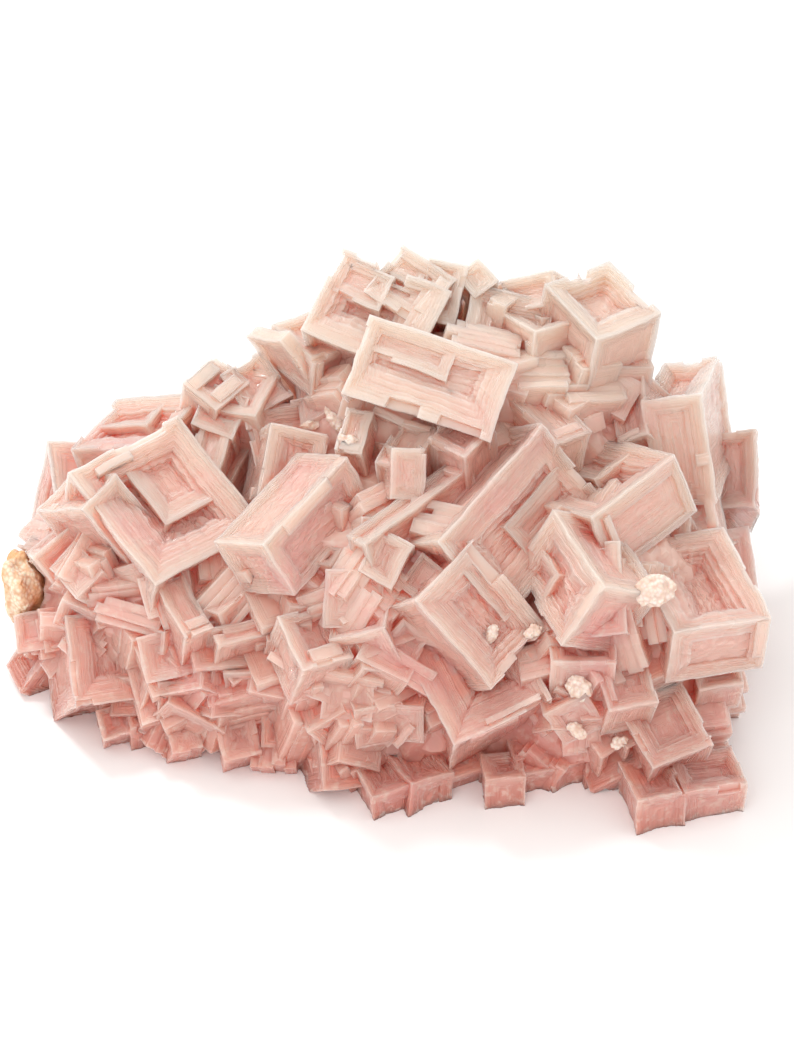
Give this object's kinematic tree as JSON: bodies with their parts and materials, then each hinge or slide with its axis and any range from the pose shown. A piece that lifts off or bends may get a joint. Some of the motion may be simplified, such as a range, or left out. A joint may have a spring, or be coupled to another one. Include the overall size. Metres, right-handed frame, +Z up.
{
  "type": "halite crystal cluster",
  "caption": "Cluster of grown-together pink hopper halite cubes with stepped faces, standing on a flat cut base",
  "frame": {"origin": "centre of the flat base, under the middle of the bounding box", "axes": "+X along the cluster, -Y the show side, +Z up"},
  "size_m": [0.1397, 0.091, 0.0701],
  "materials": {
    "pink_halite": "translucent rock salt, pale pink with whiter rims, satin broken by fine growth lines",
    "tan_mineral": "matt granular tan crust"
  },
  "bodies": {
    "root": {"halite_cluster": "pink_halite", "tan_nodule": "tan_mineral"}
  },
  "joints": []
}
